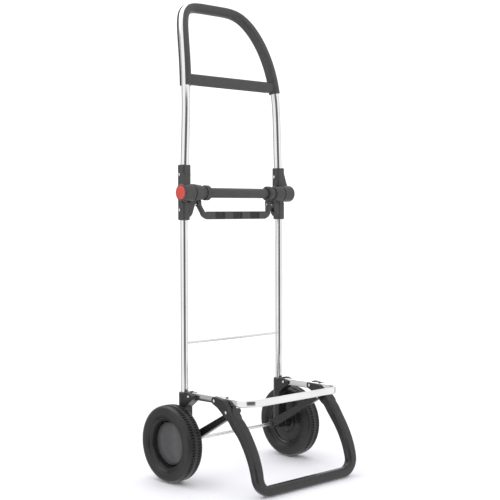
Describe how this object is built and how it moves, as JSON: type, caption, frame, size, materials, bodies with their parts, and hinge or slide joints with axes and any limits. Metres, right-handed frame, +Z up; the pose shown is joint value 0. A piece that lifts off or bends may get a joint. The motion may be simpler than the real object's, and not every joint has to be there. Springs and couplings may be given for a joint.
{
  "type": "folding luggage cart",
  "caption": "Folding two-wheel luggage cart with a hinged arched handle, carry bail, fold-down loading platform, front stand and foam-tyred wheels.",
  "frame": {"origin": "middle of the footprint, on the floor", "axes": "+Z up, +X to the cart's right seen from behind the handle's back, -Y towards the loading platform, mirror plane at X = 0"},
  "size_m": [0.4034, 0.3258, 1.0444],
  "materials": {
    "polished_aluminium": "bright polished tube and flat bar",
    "zinc_steel": "zinc plated, satin",
    "charcoal_plastic": "satin moulded plastic, dark grey",
    "black_plastic": "satin moulded plastic, near black",
    "foam_tyre": "matte closed-cell foam, black",
    "hub_cap_grey": "smooth grey plastic",
    "red_button": "smooth red plastic",
    "white_nylon": "natural nylon"
  },
  "bodies": {
    "frame": {"axle_bracket_left": "black_plastic", "axle_bracket_right": "black_plastic", "axle_push_nut_left": "zinc_steel", "axle_push_nut_right": "zinc_steel", "axle_rod": "zinc_steel", "axle_washer_left": "zinc_steel", "axle_washer_right": "zinc_steel", "bail_pin_left": "zinc_steel", "bail_pin_right": "zinc_steel", "cross_rod": "zinc_steel", "fold_shaft": "zinc_steel", "fold_washer_left": "black_plastic", "fold_washer_right": "black_plastic", "grip_collar_left": "charcoal_plastic", "grip_collar_right": "charcoal_plastic", "grip_tube": "charcoal_plastic", "knuckle_lower_left": "charcoal_plastic", "knuckle_lower_right": "charcoal_plastic", "knuckle_lower_rivet_left": "zinc_steel", "knuckle_lower_rivet_right": "zinc_steel", "lower_tube_left": "polished_aluminium", "lower_tube_right": "polished_aluminium", "platform_pivot_rivet_left": "zinc_steel", "platform_pivot_rivet_right": "zinc_steel", "strut_ring_left": "black_plastic", "strut_ring_right": "black_plastic"},
    "handle": {"button_spring": "zinc_steel", "fold_end_cap": "charcoal_plastic", "handle_cover": "charcoal_plastic", "knuckle_upper_left": "charcoal_plastic", "knuckle_upper_right": "charcoal_plastic", "knuckle_upper_rivet_left": "zinc_steel", "knuckle_upper_rivet_right": "zinc_steel", "upper_tube": "polished_aluminium"},
    "button": {"release_button": "red_button"},
    "bail": {"carry_bail": "charcoal_plastic"},
    "platform": {"platform_bar": "polished_aluminium", "platform_stud_left": "black_plastic", "platform_stud_right": "black_plastic", "stand_pivot_rivet_left": "zinc_steel", "stand_pivot_rivet_right": "zinc_steel"},
    "stand": {"stand_loop": "black_plastic", "strut_upper_rivet_left": "zinc_steel", "strut_upper_rivet_right": "zinc_steel"},
    "struts": {"strut_end_stud_left": "zinc_steel", "strut_end_stud_right": "zinc_steel", "strut_left": "black_plastic", "strut_right": "black_plastic"},
    "wheel_left": {"hub_cap_left": "hub_cap_grey", "tyre_left": "foam_tyre", "wheel_bush_inner_left": "white_nylon", "wheel_bush_outer_left": "white_nylon", "wheel_rim_left": "black_plastic"},
    "wheel_right": {"hub_cap_right": "hub_cap_grey", "tyre_right": "foam_tyre", "wheel_bush_inner_right": "white_nylon", "wheel_bush_outer_right": "white_nylon", "wheel_rim_right": "black_plastic"}
  },
  "joints": [
    {"name": "handle_fold", "type": "hinge", "parent": "frame", "child": "handle", "pos_m": [0, 0.0619, 0.618], "axis": [1, 0, 0], "range_deg": [0, 175]},
    {"name": "release_button", "type": "slide", "parent": "handle", "child": "button", "axis": [1, 0, 0], "range_m": [0, 0.004], "stiffness_N_per_m": 300},
    {"name": "bail_swing", "type": "hinge", "parent": "frame", "child": "bail", "pos_m": [0, 0.0739, 0.593], "axis": [-1, 0, 0], "range_deg": [-90, 80]},
    {"name": "platform_fold", "type": "hinge", "parent": "frame", "child": "platform", "pos_m": [0, 0.0504, 0.1825], "axis": [-1, 0, 0], "range_deg": [0, 88]},
    {"name": "stand_swing", "type": "hinge", "parent": "platform", "child": "stand", "pos_m": [0, -0.0326, 0.1845], "axis": [-1, 0, 0], "range_deg": [-98.68, 0]},
    {"name": "strut_swing", "type": "hinge", "parent": "frame", "child": "struts", "pos_m": [0, 0.0769, 0.0825], "axis": [-1, 0, 0], "range_deg": [0, 39.66]},
    {"name": "wheel_spin_left", "type": "hinge", "parent": "frame", "child": "wheel_left", "pos_m": [0, 0.0769, 0.0825], "axis": [1, 0, 0], "continuous": true},
    {"name": "wheel_spin_right", "type": "hinge", "parent": "frame", "child": "wheel_right", "pos_m": [0, 0.0769, 0.0825], "axis": [1, 0, 0], "continuous": true}
  ],
  "couplings": [
    {"joint": "stand_swing", "follows": "platform_fold", "ratio": -1.1213},
    {"joint": "strut_swing", "follows": "platform_fold", "ratio": 0.4506}
  ]
}
